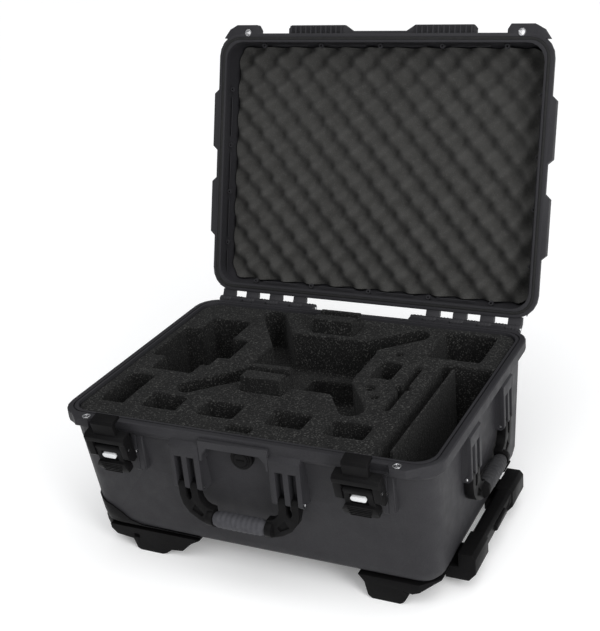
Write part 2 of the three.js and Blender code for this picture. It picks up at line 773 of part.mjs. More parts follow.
const SIDE_NAMES = { "-1": "left", 1: "right" };
const END_NAMES = { "-1": "front", 1: "rear" };

function baseGroup() {
  const group = new THREE.Group();
  group.add(
    part("base_shell", baseShell(), "resin"),
    part("pressure_valve_body", valveBody(), "blackPlastic"),
    part("pressure_valve_cap", valveCap(), "blackPlastic"),
    part("base_foam_insert", foamInsert(), "foam"),
    part("base_foam_lower_layer", foamLowerLayer(), "foam"),
    part("base_foam_floor_pad", foamFloorPad(), "foam"),
    part("foam_block_front", foamBlock(BLOCKS.front), "foam"),
    part("foam_block_rear", foamBlock(BLOCKS.rear), "foam"),
    part("compartment_divider", compartmentDivider(), "foam"),
    part("pull_handle_channel", handleChannel(), "blackPlastic"),
  );
  const hingePins = hingeRods(HINGE.pin, 1);
  BOTH.forEach((side, i) => {
    const name = SIDE_NAMES[side];
    group.add(
      part(`base_padlock_eyelet_${name}`, eyelet(side, [220, RIM_Z + 0.8]), "steel"),
      part(`hinge_pin_${name}`, hingePins[i], "steel"),
      part(`latch_pin_${name}`, latchPin(side), "steel"),
    );
  });
  for (const side of BOTH) {
    const name = END_NAMES[side];
    group.add(
      part(`wheel_housing_${name}`, wheelHousing(side), "blackPlastic"),
      part(`foot_${name}`, frontFoot(side), "blackPlastic"),
      part(`wheel_hub_${name}`, hub(side), "blackPlastic"),
      part(`wheel_tyre_${name}`, tyre(side), "rubber"),
      part(`wheel_axle_${name}`, axle(side), "steel"),
      part(`pull_outer_tube_${name}`, tube(TUBES.outer, side), "tube"),
      part(`pull_middle_tube_${name}`, tube(TUBES.middle, side), "tube"),
      part(`pull_inner_tube_${name}`, tube(TUBES.inner, side), "tube"),
    );
  }
  group.add(
    part("pull_grip", pullGrip(), "blackPlastic"),
    part("pull_button", pullButton(), "blackPlastic"),
  );
  return group;
}

function carryingHandle(name, gripMaterial) {
  const group = new THREE.Group();
  const [left, right] = handlePins(0);
  group.add(
    part(`${name}_handle_frame`, handleFrame(), "blackPlastic"),
    part(`${name}_handle_grip`, handleGrip(), gripMaterial),
    part(`${name}_handle_pin_a`, left, "steel"),
    part(`${name}_handle_pin_b`, right, "steel"),
  );
  return group;
}

// A latch turned about its pin, from upright to its resting tilt.
function latchGroup(end) {
  const name = SIDE_NAMES[end];
  const group = new THREE.Group();
  const upright = new THREE.Group();
  upright.position.set(0, -LATCH_PIN.y, -LATCH_PIN.z);
  upright.add(
    part(`latch_claw_${name}`, latchClaw(), "blackPlastic"),
    part(`latch_lever_${name}`, latchLever(), "blackPlastic"),
    part(`latch_lever_pin_${name}`, leverPin(), "steel"),
    part(`latch_lock_${name}`, latchLock(), "lock"),
  );
  group.add(upright);
  group.position.set(end * LATCH_X, LATCH_PIN.y, LATCH_PIN.z);
  group.rotation.x = LATCH_TILT;
  return group;
}

function lidGroup() {
  const group = new THREE.Group();
  const closed = new THREE.Group();
  closed.position.set(0, -HINGE.y, -HINGE.z);
  closed.add(
    part("lid_shell", lidShell(), "resin"),
    part("lid_seal", lidSeal(), "rubber"),
    part("lid_foam", lidFoam(), "lidFoam"),
  );
  for (const side of BOTH) {
    const name = `lid_padlock_eyelet_${SIDE_NAMES[side]}`;
    closed.add(part(name, eyelet(side, [LID_Z + 1.4, 247]), "steel"));
  }
  group.add(closed);
  group.position.set(0, HINGE.y, HINGE.z);
  group.rotation.x = -LID_OPEN;
  return group;
}

const root = new THREE.Group();
const sideHandle = carryingHandle("side", "darkGrip");
sideHandle.applyMatrix4(SIDE_PLACE);
root.add(baseGroup(), carryingHandle("front", "greyGrip"), sideHandle, lidGroup());
root.add(...BOTH.map(latchGroup));

const bounds = new THREE.Box3().setFromObject(root, true);
const middle = bounds.getCenter(new THREE.Vector3());
root.position.set(-middle.x, -middle.y, -bounds.min.z);

export default root;
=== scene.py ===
"""Looks for a wheeled drone carrying case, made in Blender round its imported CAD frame.

The case frame used below is in millimetres: X across the case, the latches on -Y, the hinge on +Y
and the floor at z = 0. It differs from the row frame only by a shift, which the lid's hinge gives.
Pieces of the lid are drawn as if it were closed, and pieces of a latch as if it stood upright.
"""

import json
import math

import bmesh
import bpy
from mathutils import Matrix, Vector, noise


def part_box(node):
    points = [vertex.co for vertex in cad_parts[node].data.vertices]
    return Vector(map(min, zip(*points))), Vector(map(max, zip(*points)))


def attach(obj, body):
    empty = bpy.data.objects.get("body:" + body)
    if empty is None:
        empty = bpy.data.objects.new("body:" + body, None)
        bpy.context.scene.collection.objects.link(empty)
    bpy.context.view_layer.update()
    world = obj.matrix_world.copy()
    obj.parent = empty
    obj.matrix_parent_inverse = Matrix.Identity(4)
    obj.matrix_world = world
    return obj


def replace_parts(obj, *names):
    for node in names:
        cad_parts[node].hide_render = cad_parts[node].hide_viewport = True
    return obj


MM = 0.001

# ---------- the frame, and where things are in it ----------

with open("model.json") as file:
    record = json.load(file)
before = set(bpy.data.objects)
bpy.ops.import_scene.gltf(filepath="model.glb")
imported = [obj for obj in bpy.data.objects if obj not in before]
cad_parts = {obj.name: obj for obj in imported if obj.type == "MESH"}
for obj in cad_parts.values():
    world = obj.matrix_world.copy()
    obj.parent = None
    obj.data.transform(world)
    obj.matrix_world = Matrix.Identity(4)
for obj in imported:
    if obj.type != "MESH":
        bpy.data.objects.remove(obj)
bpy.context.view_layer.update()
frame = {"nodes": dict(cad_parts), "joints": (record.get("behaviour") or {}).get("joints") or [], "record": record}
JOINTS = {joint["name"]: joint for joint in frame["joints"]}
BODY_OF = {node: body for body, nodes in frame["record"]["behaviour"]["bodies"].items() for node in nodes}
SLOT_OF = {part["node"]: part["material_slot"] for part in frame["record"]["subparts"]}

HINGE = (0, 222.6, 226)
LATCH_PIN = (-204.8, 188)
LATCH_X = 180
LATCH_TILT = math.radians(14)
LID_OPEN = math.radians(JOINTS["lid_hinge"]["range_deg"][1])
MOUTH = {"width": 521, "depth": 389, "radius": 28}
FLANGE = {"width": 548, "depth": 416, "radius": 36}
RIM_Z = 232
BASE_MIDDLE_Y = 8.5
LID_FOAM = {"low": 258, "high": 285.5, "inset": 5.6}
EGG_PITCH = (44, 48)
EGG_DEPTH = 22
FOAM_TOP = 229
GRIP = {"y": -212, "z": 109, "half": 38, "radius": 11.8}
EGG_GRID = {"rows": 88, "columns": 136}
LINER = {"front": -150, "length": 210, "x": 251.5, "thickness": 3.5, "low": 96, "steps": 70}
BAND = {"half": 51, "low": 214, "high": 226}
GUSSET = [(51, 195), (51, 217), (38, 217), (38, 214), (45.5, 205), (46.5, 195)]
POST = {"offset": 31, "half": 5, "low": 157, "high": 215}
KNUCKLES = {"inner": 81, "outer": 253, "count": 8}
FOOT_CORNER = (241, 168, 30)
SIDES = {"left": -1, "right": 1}
ENDS = {"front": -1, "rear": 1}

CASE = Matrix.Translation(Vector(JOINTS["lid_hinge"]["pos_m"]) - Vector(HINGE) * MM) @ Matrix.Scale(MM, 4)


def turned(centre, angle):
    """The case frame turned about an X axis through a point."""
    there = Matrix.Translation(centre)
    return CASE @ there @ Matrix.Rotation(angle, 4, "X") @ there.inverted()


LID = turned(HINGE, -LID_OPEN)
SIDE_HANDLE = CASE @ Matrix.Translation((62, 6, 0)) @ Matrix.Rotation(math.pi / 2, 4, "Z")


def latch_matrix(side):
    """A latch is drawn upright about x = 0."""
    moved = turned((0, *LATCH_PIN), LATCH_TILT)
    return Matrix.Translation((side * LATCH_X * MM, 0, 0)) @ moved


# ---------- materials ----------


class Surface:
    """A Principled material and the few node chains that the materials share."""

    def __init__(self, name, roughness, metallic=0.0, specular=0.5):
        self.material = bpy.data.materials.new(name)
        self.material.use_nodes = True
        self.tree = self.material.node_tree
        self.shader = self.tree.nodes["Principled BSDF"]
        self.shader.inputs["Roughness"].default_value = roughness
        self.shader.inputs["Metallic"].default_value = metallic
        self.shader.inputs["Specular IOR Level"].default_value = specular
        self.place = self.node("ShaderNodeTexCoord").outputs["Object"]

    def node(self, kind, **values):
        made = self.tree.nodes.new(kind)
        for name, value in values.items():
            if name in made.inputs:
                made.inputs[name].default_value = value
            else:
                setattr(made, name, value)
        return made

    def link(self, source, target):
        self.tree.links.new(source, target)

    def noise(self, size_mm, detail=3.0, stretch=(1, 1, 1)):
        """Noise whose blotches are about size_mm across."""
        mapping = self.node("ShaderNodeMapping")
        mapping.inputs["Scale"].default_value = stretch
        self.link(self.place, mapping.inputs["Vector"])
        made = self.node("ShaderNodeTexNoise", Scale=1000 / size_mm, Detail=detail)
        self.link(mapping.outputs["Vector"], made.inputs["Vector"])
        return made.outputs["Fac"]

    def cells(self, size_mm):
        made = self.node("ShaderNodeTexVoronoi", Scale=1000 / size_mm)
        self.link(self.place, made.inputs["Vector"])
        return made.outputs["Distance"]

    def ramp(self, source, stops):
        """stops are (position, colour) pairs, and a colour is a grey level or three values."""
        made = self.node("ShaderNodeValToRGB")
        elements = made.color_ramp.elements
        while len(elements) < len(stops):
            elements.new(0.5)
        for element, (position, colour) in zip(elements, stops):
            element.position = position
            rgb = colour if isinstance(colour, tuple) else (colour, colour, colour)
            element.color = (*rgb, 1)
        self.link(source, made.inputs["Fac"])
        return made.outputs["Color"]

    def mix(self, first, second, share, blend="MIX"):
        made = self.node("ShaderNodeMix", data_type="RGBA", blend_type=blend)
        for socket, value in ((made.inputs[6], first), (made.inputs[7], second)):
            if isinstance(value, tuple):
                socket.default_value = (*value, 1)
            else:
                self.link(value, socket)
        if isinstance(share, float):
            made.inputs[0].default_value = share
        else:
            self.link(share, made.inputs[0])
        return made.outputs[2]

    def bumps(self, *layers):
        """Each layer is (height, depth in mm); they add up."""
        normal = None
        for height, depth in layers:
            made = self.node("ShaderNodeBump", Distance=depth * MM, Strength=1.0)
            self.link(height, made.inputs["Height"])
            if normal is not None:
                self.link(normal, made.inputs["Normal"])
            normal = made.outputs["Normal"]
        self.link(normal, self.shader.inputs["Normal"])

    def colour(self, source):
        self.link(source, self.shader.inputs["Base Color"])

    def roughness(self, source, low, high):
        self.link(self.ramp(source, [(0.3, low), (0.7, high)]), self.shader.inputs["Roughness"])

    def worn_edges(self, colour, edge_colour, spread=0.04):
        """Lightens convex edges, where handling polishes the plastic."""
        edges = self.node("ShaderNodeNewGeometry").outputs["Pointiness"]
        share = self.ramp(edges, [(0.5 + spread, 0.0), (0.5 + 3 * spread, 0.14)])
        return self.mix(colour, edge_colour, share)


def moulded(name, dark, light, edge, roughness, grain_mm=1.6, grain_depth=0.05, specular=0.4):
    """Injection-moulded plastic: a pebbled grain, faint flow marks and lighter worn edges."""
    surface = Surface(name, roughness, specular=specular)
    flow = surface.noise(70, 3, (1, 1, 0.45))
    speckle = surface.noise(1.4, 2)
    base = surface.ramp(flow, [(0.35, dark), (0.65, light)])
    base = surface.mix(base, surface.ramp(speckle, [(0.3, dark), (0.75, edge)]), 0.25)
    surface.colour(surface.worn_edges(base, edge))
    surface.roughness(surface.noise(18), roughness - 0.06, roughness + 0.07)
    surface.bumps((surface.cells(grain_mm), grain_depth), (surface.noise(7, 2), 0.12))
    return surface.material


def cut_foam(name, dark, light, painted_glint, cell_mm, depth):
    """Foam: a mass of small cells, with painted glints where some of them catch the light."""
    surface = Surface(name, 0.95, specular=0.15)
    surface.shader.inputs["Sheen Weight"].default_value = 0.03
    surface.shader.inputs["Sheen Roughness"].default_value = 0.6
    blotches = surface.ramp(surface.noise(26, 4), [(0.3, dark), (0.7, light)])
    # painted glints: lighter spots in the colour stand for light caught by the cell walls
    painted_glint_share = surface.ramp(surface.noise(cell_mm * 1.1, 2), [(0.56, 0.0), (0.7, 1.0)])
    surface.colour(surface.mix(blotches, painted_glint, painted_glint_share))
    surface.bumps((surface.noise(cell_mm, 3), depth), (surface.cells(cell_mm * 2.2), depth * 0.8))
    return surface.material


def rubber(name, dark, light):
    surface = Surface(name, 0.7, specular=0.3)
    base = surface.ramp(surface.noise(9, 4), [(0.3, dark), (0.7, light)])
    surface.colour(surface.worn_edges(base, tuple(1.8 * c for c in light)))
    surface.roughness(surface.noise(5), 0.62, 0.8)
    surface.bumps((surface.noise(0.8, 2), 0.05), (surface.noise(6, 2), 0.06))
    return surface.material


def brushed(name, dark, light, roughness, stretch):
    """Metal with fine drawing marks along one axis."""
    surface = Surface(name, roughness, metallic=1.0)
    marks = surface.noise(0.9, 2, stretch)
    surface.colour(surface.ramp(marks, [(0.3, dark), (0.7, light)]))
    surface.roughness(surface.noise(6, 2), roughness - 0.06, roughness + 0.12)
    surface.bumps((marks, 0.015))
    return surface.material


def floor_material():
    surface = Surface("studio_floor", 0.9, specular=0.1)
    surface.shader.inputs["Emission Color"].default_value = (1, 1, 1, 1)
    surface.shader.inputs["Emission Strength"].default_value = FLOOR_GLOW
    surface.colour(surface.ramp(surface.noise(900), [(0.3, 0.93), (0.7, 0.95)]))
    return surface.material


MATERIALS = {
    "case_resin": moulded(
        "graphite_resin", (0.0185, 0.018, 0.0205), (0.0225, 0.022, 0.0245), (0.05, 0.05, 0.053), 0.55,
        specular=0.14,
    ),
    "black_plastic": moulded(
        "black_plastic", (0.0035, 0.0034, 0.0036), (0.0055, 0.0053, 0.0056), (0.016, 0.0155, 0.016), 0.46,
        grain_mm=1.1, grain_depth=0.03, specular=0.05,
    ),
    "grey_grip": rubber("grey_grip_rubber", (0.036, 0.036, 0.041), (0.047, 0.047, 0.053)),
    "dark_grip": rubber("dark_grip_rubber", (0.02, 0.02, 0.022), (0.03, 0.03, 0.032)),
    "seal_rubber": rubber("seal_rubber", (0.008, 0.008, 0.008), (0.012, 0.012, 0.012)),
    "tyre_rubber": rubber("tyre_rubber", (0.012, 0.012, 0.012), (0.02, 0.02, 0.02)),
    "steel": brushed("polished_steel", (0.55, 0.55, 0.56), (0.75, 0.75, 0.76), 0.22, (1, 1, 6)),
    "tube_aluminium": brushed("drawn_aluminium", (0.42, 0.43, 0.45), (0.55, 0.56, 0.58), 0.33, (0.05, 1, 1)),
    # the third colour of each foam is a painted glint, for light caught by its cells
    "cut_foam": cut_foam(
        "cut_foam", (0.0035, 0.0035, 0.0036), (0.0065, 0.0065, 0.0064), (0.062, 0.062, 0.059), 1.9, 0.7
    ),
    "lid_egg_foam": cut_foam(
        "egg_crate_foam", (0.034, 0.0335, 0.032), (0.046, 0.0455, 0.0435), (0.07, 0.069, 0.066), 1.2, 0.25
    ),
    "lock_plastic": moulded(
        "lock_plastic", (0.6, 0.61, 0.62), (0.68, 0.69, 0.7), (0.85, 0.85, 0.85), 0.35, grain_depth=0.01
    ),
}

# ---------- making pieces ----------


def add_piece(name, mesh, body, slot, smooth_angle=35):
    """Links a mesh already in the row frame, and makes it ride on a body."""
    mesh.materials.clear()
    mesh.materials.append(MATERIALS[slot])
    mesh.polygons.foreach_set("use_smooth", [True] * len(mesh.polygons))
    mesh.set_sharp_from_angle(angle=math.radians(smooth_angle))
    piece = bpy.data.objects.new(name, mesh)
    bpy.context.scene.collection.objects.link(piece)
    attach(piece, body)
    return piece


def mesh_from(name, vertices, faces, matrix):
    mesh = bpy.data.meshes.new(name)
    mesh.from_pydata([matrix @ Vector(v) for v in vertices], [], faces)
    mesh.validate()
    return mesh


def merged_copy(node):
    """A bmesh of a CAD node in millimetres, with flat faces merged."""
    source = frame["nodes"][node].data
    bare = bpy.data.meshes.new(node + "_copy")
    bare.from_pydata([v.co / MM for v in source.vertices], [], [tuple(p.vertices) for p in source.polygons])
    bm = bmesh.new()
    bm.from_mesh(bare)
    bpy.data.meshes.remove(bare)
    bmesh.ops.remove_doubles(bm, verts=bm.verts, dist=0.03)
    bmesh.ops.dissolve_degenerate(bm, edges=bm.edges, dist=0.03)
    bmesh.ops.dissolve_limit(bm, angle_limit=math.radians(0.7), verts=bm.verts, edges=bm.edges)
    return bm


def trim(bm, point, normal):
    """Cuts away what lies beyond a plane, which is given in the case frame, and closes the cut."""
    place = (CASE @ Vector(point)) / MM
    everything = bm.verts[:] + bm.edges[:] + bm.faces[:]
    cut = bmesh.ops.bisect_plane(bm, geom=everything, plane_co=place, plane_no=normal, clear_outer=True)
    rim = [item for item in cut["geom_cut"] if isinstance(item, bmesh.types.BMEdge)]
    bmesh.ops.holes_fill(bm, edges=rim)


def finished(node, bevel=0.8, angle=32, segments=2, corner=None):
    """A copy of a CAD node with rounded edges, which stands for it; corner is a plane to trim it to."""
    bm = merged_copy(node)
    if corner:
        trim(bm, *corner)
    bmesh.ops.triangulate(bm, faces=[face for face in bm.faces if len(face.verts) > 4])
    mesh = bpy.data.meshes.new(node + "_finished")
    bm.to_mesh(mesh)
    bm.free()
    piece = bpy.data.objects.new(node + "_finished", mesh)
    bpy.context.scene.collection.objects.link(piece)
    rounding = piece.modifiers.new("rounding", "BEVEL")
    rounding.width = bevel
    rounding.segments = segments
    rounding.limit_method = "ANGLE"
    rounding.angle_limit = math.radians(angle)
    rounding.use_clamp_overlap = True
    rounding.miter_outer = "MITER_ARC"
    piece.modifiers.new("normals", "WEIGHTED_NORMAL").keep_sharp = True
    evaluated = piece.evaluated_get(bpy.context.evaluated_depsgraph_get())
    final = bpy.data.meshes.new_from_object(evaluated)
    bpy.data.objects.remove(piece)
    final.transform(Matrix.Scale(MM, 4))
    final.name = node + "_finished"
    made = add_piece(node + "_finished", final, BODY_OF[node], SLOT_OF[node])
    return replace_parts(made, node)


def rounded_box(name, size, middle, radius, matrix, body, slot, segments=3):
    """A box with rounded edges, in the frame that matrix gives."""
    bm = bmesh.new()
    bmesh.ops.create_cube(bm, size=1)
    bmesh.ops.scale(bm, vec=size, verts=bm.verts)
    bmesh.ops.bevel(bm, geom=bm.edges[:], offset=radius, segments=segments, affect="EDGES", profile=0.5)
    bmesh.ops.translate(bm, vec=middle, verts=bm.verts)
    mesh = bpy.data.meshes.new(name)
    bm.to_mesh(mesh)
    bm.free()
    mesh.transform(matrix)
    return add_piece(name, mesh, body, slot)


def turned_piece(name, profile, matrix, body, slot, sides=32, ripple=None):
    """A closed ring of (radius, height) points turned about Z; ripple changes a radius by its angle."""
    vertices = []
    for radius, height in profile:
        for i in range(sides):
            angle = 2 * math.pi * i / sides
            r = radius if ripple is None else ripple(radius, height, angle)
            vertices.append((r * math.cos(angle), r * math.sin(angle), height))
    count = len(profile)
    faces = []
    for level in range(count):
        following = (level + 1) % count
        for i in range(sides):
            j = (i + 1) % sides
            faces.append((level * sides + i, level * sides + j, following * sides + j, following * sides + i))
    return add_piece(name, mesh_from(name, vertices, faces, matrix), body, slot)


def dome(name, radius, height, matrix, body, slot, sides=16):
    """A low rivet head that rises along Z."""
    steps = 4
    profile = [(radius, -height)]
    for i in range(steps + 1):
        angle = math.pi / 2 * i / steps
        profile.append((max(radius * math.cos(angle), 0.02), height * math.sin(angle)))
    profile.append((0.02, -height))
    return turned_piece(name, profile, matrix, body, slot, sides)


def along(axis, place):
    """A frame at a place in the case frame, whose Z points along +X, +Y or -Y."""
    turns = {
        "+x": Matrix.Rotation(math.pi / 2, 4, "Y"),
        "+y": Matrix.Rotation(-math.pi / 2, 4, "X"),
        "-y": Matrix.Rotation(math.pi / 2, 4, "X"),
    }
    return Matrix.Translation(place) @ turns[axis]


# ---------- foam ----------


def foam_from(node, voxel_mm, wobble_mm):
    """Cut foam: the CAD solid remeshed, with soft edges and an uneven surface."""
    bm = merged_copy(node)
    mesh = bpy.data.meshes.new(node + "_foam")
    bm.to_mesh(mesh)
    bm.free()
    rough = bpy.data.objects.new(node + "_rough", mesh)
    bpy.context.scene.collection.objects.link(rough)
    remesh = rough.modifiers.new("remesh", "REMESH")
    remesh.mode = "VOXEL"
    remesh.voxel_size = voxel_mm
    soften = rough.modifiers.new("soften", "SMOOTH")
    soften.factor = 0.5
    soften.iterations = 2
    evaluated = rough.evaluated_get(bpy.context.evaluated_depsgraph_get())
    final = bpy.data.meshes.new_from_object(evaluated)
    bpy.data.objects.remove(rough)
    outwards = [vertex.normal.copy() for vertex in final.vertices]
    for vertex, outward in zip(final.vertices, outwards):
        coarse = noise.noise(vertex.co * 0.09)
        fine = noise.noise(vertex.co * 0.31)
        vertex.co += outward * wobble_mm * (0.6 * coarse + 0.5 * fine - 0.35)
    final.transform(Matrix.Scale(MM, 4))
    piece = add_piece(node + "_foam", final, BODY_OF[node], SLOT_OF[node], smooth_angle=75)
    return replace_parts(piece, node)


def egg_relief(x, y):
    """Height of the egg-crate surface above its pits, from 0 to 1."""
    wave = math.cos(2 * math.pi * x / EGG_PITCH[0]) * math.cos(2 * math.pi * y / EGG_PITCH[1])
    wander = 0.08 * noise.noise(Vector((x, y, 0)) * 0.02)
    return min(max(0.5 - 0.5 * wave + wander, 0.0), 1.0)


def lid_foam():
    """The egg-crate sheet in the lid, cut to the lid's outline so that its edges wave."""
    inset = LID_FOAM["inset"]
    half_x = MOUTH["width"] / 2 - inset
    half_y = MOUTH["depth"] / 2 - inset
    radius = MOUTH["radius"] - inset
    corner = [half_y - radius + radius * math.sin(math.pi / 2 * i / 6) for i in range(1, 7)]
    straight = EGG_GRID["rows"]
    rows = [-y for y in reversed(corner)]
    rows += [(radius - half_y) + 2 * (half_y - radius) * i / straight for i in range(straight + 1)]
    rows += corner
    columns = EGG_GRID["columns"]
    vertices = []
    for y in rows:
        past = max(abs(y) - (half_y - radius), 0)
        reach = half_x - radius + math.sqrt(max(radius**2 - past**2, 0))
        for i in range(columns + 1):
            x = reach * (2 * i / columns - 1)
            top = LID_FOAM["low"] + EGG_DEPTH * (1 - egg_relief(x, y))
            vertices.append((x, y, top + 0.4 * noise.noise(Vector((x, y, 3)) * 0.2)))
    width = columns + 1
    last = len(rows) - 1
    faces = [
        (r * width + c, (r + 1) * width + c, (r + 1) * width + c + 1, r * width + c + 1)
        for r in range(last)
        for c in range(columns)
    ]
    edge = [c for c in range(width)]
    edge += [r * width + columns for r in range(1, last + 1)]
    edge += [last * width + c for c in range(columns - 1, -1, -1)]
    edge += [r * width for r in range(last - 1, 0, -1)]
    start = len(vertices)
    shrink = 1 - 7.5 / half_x
    vertices += [(vertices[i][0] * shrink, vertices[i][1] * shrink, LID_FOAM["high"]) for i in edge]
    count = len(edge)
    faces += [(edge[i], edge[(i + 1) % count], start + (i + 1) % count, start + i) for i in range(count)]
    faces.append(tuple(range(start, start + count)))
    mesh = mesh_from("lid_egg_crate_foam", vertices, faces, LID)
    piece = add_piece("lid_egg_crate_foam", mesh, "lid", "lid_egg_foam", smooth_angle=60)
    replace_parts(piece, "lid_foam")


def wall_liner():
    """The ragged foam sheet along the right end wall of the open compartment."""
    steps = LINER["steps"]
    vertices = []
    for i in range(steps + 1):
        y = LINER["front"] + LINER["length"] * i / steps
        sway = 1.6 * noise.noise(Vector((y * 0.05, 1, 0)))
        top = 214 + 4 * noise.noise(Vector((y * 0.09, 5, 0)))
        inner = LINER["x"] + sway
        outer = inner + LINER["thickness"]
        vertices += [(inner, y, LINER["low"]), (inner, y, top), (outer, y, top + 1), (outer, y, LINER["low"])]
    faces = [
        (4 * i + k, 4 * i + (k + 1) % 4, 4 * i + 4 + (k + 1) % 4, 4 * i + 4 + k)
        for i in range(steps)
        for k in range(4)
    ]
    faces += [(0, 3, 2, 1), tuple(4 * steps + k for k in range(4))]
    mesh = mesh_from("compartment_wall_liner", vertices, faces, CASE)
    piece = add_piece("compartment_wall_liner", mesh, "base", "cut_foam")


# ---------- shells ----------


def mouth_ring(spacing, inset):
    """Places along the straight stretches inside the rim: (x, y, direction of the wall)."""
    half_x = MOUTH["width"] / 2 - inset
    half_y = MOUTH["depth"] / 2 - inset
    places = []
    for x in (-200, -100, 0, 100, 200):
        places += [(x, -half_y, 0), (x, half_y, 0)]
    for y in (-120, -spacing / 2 + 8, spacing / 2 + 8, 130):
        places += [(-half_x, y, 1), (half_x, y, 1)]
    return places


def lid_bosses():
    """Screw bosses and thin rails on the lid's inner wall, close to the rim."""
    ring = [(3.6, 246), (3.9, 249), (3.4, 251), (1.9, 251), (1.7, 249), (1.7, 246)]
    for number, (x, y, upright) in enumerate(mouth_ring(76, 4.6)):
        matrix = LID @ Matrix.Translation((x, y, 0))
        turned_piece(f"lid_boss_{number}", ring, matrix, "lid", "case_resin", 20)
        size = (1.2, 62, 3) if upright else (62, 1.2, 3)
        shift = (0, 44) if upright else (44, 0)
        middle = (x + shift[0], y + shift[1], 248.5)
        if abs(middle[0]) < 235 or upright:
            rounded_box(f"lid_rail_{number}", size, middle, 0.5, LID, "lid", "case_resin")


def front_plate(name, outline, back_y, front_y, bevel):
    """A slab with an outline in X and Z, its edges rounded, moulded on to the front of the base."""
    count = len(outline)
    vertices = [(x, y, z) for y in (front_y, back_y) for x, z in outline]
    faces = [tuple(range(count)), tuple(reversed(range(count, 2 * count)))]
    faces += [(i, count + i, count + (i + 1) % count, (i + 1) % count) for i in range(count)]
    bm = bmesh.new()
    mesh = mesh_from(name, vertices, faces, CASE)
    bm.from_mesh(mesh)
    bmesh.ops.recalc_face_normals(bm, faces=bm.faces)
    bmesh.ops.bevel(bm, geom=bm.edges, offset=bevel * MM, segments=3, affect="EDGES")
    bm.to_mesh(mesh)
    bm.free()
    return add_piece(name, mesh, "base", "case_resin", 50)


def front_apron():
    """The band over the carrying handle with its chamfered corners, and the thick latch posts."""
    half, low, high = BAND["half"], BAND["low"], BAND["high"]
    band = [(-half, low), (half, low), (half, high), (-half, high)]
    front_plate("apron_band", band, -204, -213.6, 1.2)
    for side_name, side in SIDES.items():
        outline = [(side * x, z) for x, z in GUSSET]
        front_plate(f"apron_gusset_{side_name}", outline, -192, -213.4, 0.8)
        for inner_name, inner in SIDES.items():
            middle = side * LATCH_X + inner * POST["offset"]
            left, right = middle - POST["half"], middle + POST["half"]
            post = [(left, POST["low"]), (right, POST["low"]), (right, POST["high"]), (left, POST["high"])]
            front_plate(f"post_{side_name}_{inner_name}", post, -190, -202.3, 1.6)


def hinge_ribs():
    """Fine ribs moulded round the hinge knuckles."""
    low, high = KNUCKLES["inner"], KNUCKLES["outer"]
    for side_name, side in SIDES.items():
        for number in range(KNUCKLES["count"]):
            middle = side * (low + (high - low) * (number + 0.5) / KNUCKLES["count"])
            body = "base" if number % 2 == 0 else "lid"
            for k in (-1, 0, 1):
                place = along("+x", (middle + 5 * k - 1, HINGE[1], HINGE[2]))
                rib = [(6.3, 0), (7.1, 0.5), (7.1, 1.5), (6.3, 2), (5.6, 1)]
                name = f"hinge_rib_{side_name}_{number}_{k + 1}"
                turned_piece(name, rib, CASE @ place, body, "case_resin", 20)


# ---------- handles ----------


def ribbed_grip(name, matrix, body, slot):
    """A soft barrel-shaped sleeve with rounded rings; the small button in its middle is made apart from it."""
    half = GRIP["half"]
    steps = 76
    profile = [(7.4, -half), (8.8, -half)]
    for i in range(steps + 1):
        x = -half + 2 * half * i / steps
        t = x / half
        barrel = GRIP["radius"] - 2.2 * abs(t) ** 6
        ring = 0.35 * math.cos(2 * math.pi * x / 7.6) if abs(t) < 0.86 else -0.3
        profile.append((barrel - 0.35 + ring, x))
    profile += [(8.8, half), (7.4, half)]

    def flattened(radius, height, angle):
        return radius * (1 - 0.05 * math.cos(2 * angle) ** 2)

    place = matrix @ along("+x", (0, GRIP["y"], GRIP["z"]))
    turned_piece(name, profile, place, body, slot, 48, flattened)


def handles():
    for which, matrix, slot in (("front", CASE, "grey_grip"), ("side", SIDE_HANDLE, "dark_grip")):
        finished(f"{which}_handle_frame", 0.9)
        ribbed_grip(f"{which}_grip_sleeve", matrix, f"{which}_handle", slot)
        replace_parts(bpy.data.objects[f"{which}_grip_sleeve"], f"{which}_handle_grip")
        dot = matrix @ along("-y", (0, GRIP["y"] - GRIP["radius"] + 0.4, GRIP["z"]))
        dome(f"{which}_grip_button", 1.6, 0.7, dot, f"{which}_handle", slot)
        for key in "ab":
            finished(f"{which}_handle_pin_{key}", 0.4)


# ---------- latches ----------


def latches():
    for name, side in SIDES.items():
        matrix = latch_matrix(side)
        for node, bevel in (("claw", 0.8), ("lever", 0.9), ("lock", 0.6), ("lever_pin", 0.4)):
            finished(f"latch_{node}_{name}", bevel)
        for number in range(5):
            size = (34 - 1.5 * number, 1.6, 1.3)
            middle = (0, -231.0, 181.5 - 2.9 * number)
            rounded_box(
                f"lever_ridge_{name}_{number}", size, middle, 0.5, matrix, f"lever_{name}", "black_plastic", 2
            )
        for x in (-8, 3, 10):
            pad = along("-y", (x, -216.6, 211 + 0.4 * x / 8))
            dome(f"claw_rivet_{name}_{x}", 1.7, 0.8, matrix @ pad, f"latch_{name}", "steel", 14)
        finished(f"latch_pin_{name}", 0.3)


# ---------- wheels ----------


